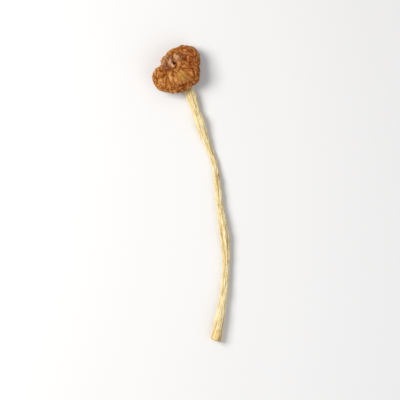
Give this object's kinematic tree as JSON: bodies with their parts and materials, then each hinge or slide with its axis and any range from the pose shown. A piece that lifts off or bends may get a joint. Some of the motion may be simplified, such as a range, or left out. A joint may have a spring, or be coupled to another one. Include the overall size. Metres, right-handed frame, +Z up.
{
  "type": "dried tea tree mushroom",
  "caption": "Dried tea tree mushroom lying down: wrinkled, dimpled brown cap with gills below, on a long, thin, grooved straw-coloured stem with a cut foot.",
  "frame": {"origin": "middle of the footprint's box, on the surface that the mushroom lies on", "axes": "+Y from the cut foot towards the cap, +Z up, the way that the cap's face looks, +X to the right"},
  "size_m": [0.0392, 0.1503, 0.0149],
  "materials": {
    "cap_skin": "matte",
    "stem_flesh": "matte"
  },
  "bodies": {
    "root": {"cap": "cap_skin", "stem": "stem_flesh"}
  },
  "joints": []
}
